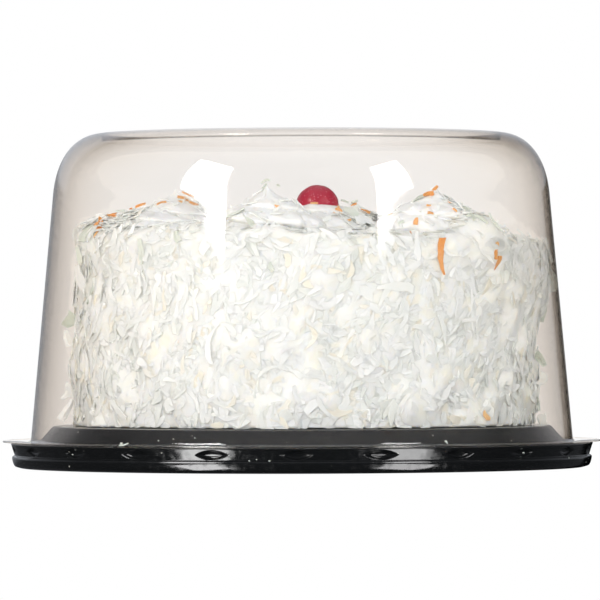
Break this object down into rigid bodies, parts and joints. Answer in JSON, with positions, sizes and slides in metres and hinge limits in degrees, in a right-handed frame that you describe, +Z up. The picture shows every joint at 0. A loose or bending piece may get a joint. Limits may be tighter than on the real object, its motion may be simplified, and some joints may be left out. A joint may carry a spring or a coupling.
{
  "type": "coconut layer cake in a domed carry pack",
  "caption": "Round iced layer cake coated in coconut, with piped rosettes and a cherry, on a black tray under a clear domed lid.",
  "frame": {"origin": "on the table at the tray's axis", "axes": "+Z up, -Y towards the viewer of the picture, +X to that viewer's right"},
  "size_m": [0.2712, 0.2712, 0.1513],
  "materials": {
    "tray_sheet": "glossy black thermoformed sheet",
    "clear_sheet": "clear thermoformed plastic sheet, polished",
    "coconut": "whipped icing under a thick coat of moist coconut shreds",
    "icing": "soft whipped icing with a faint sheen",
    "cherry": "glazed red cherry"
  },
  "bodies": {
    "root": {"tray": "tray_sheet", "lid": "clear_sheet", "cake": "coconut", "rosette_front": "icing", "rosette_front_right": "icing", "rosette_right": "icing", "rosette_back": "icing", "rosette_back_left": "icing", "rosette_left": "icing", "rosette_centre": "icing", "cherry": "cherry"}
  },
  "joints": []
}
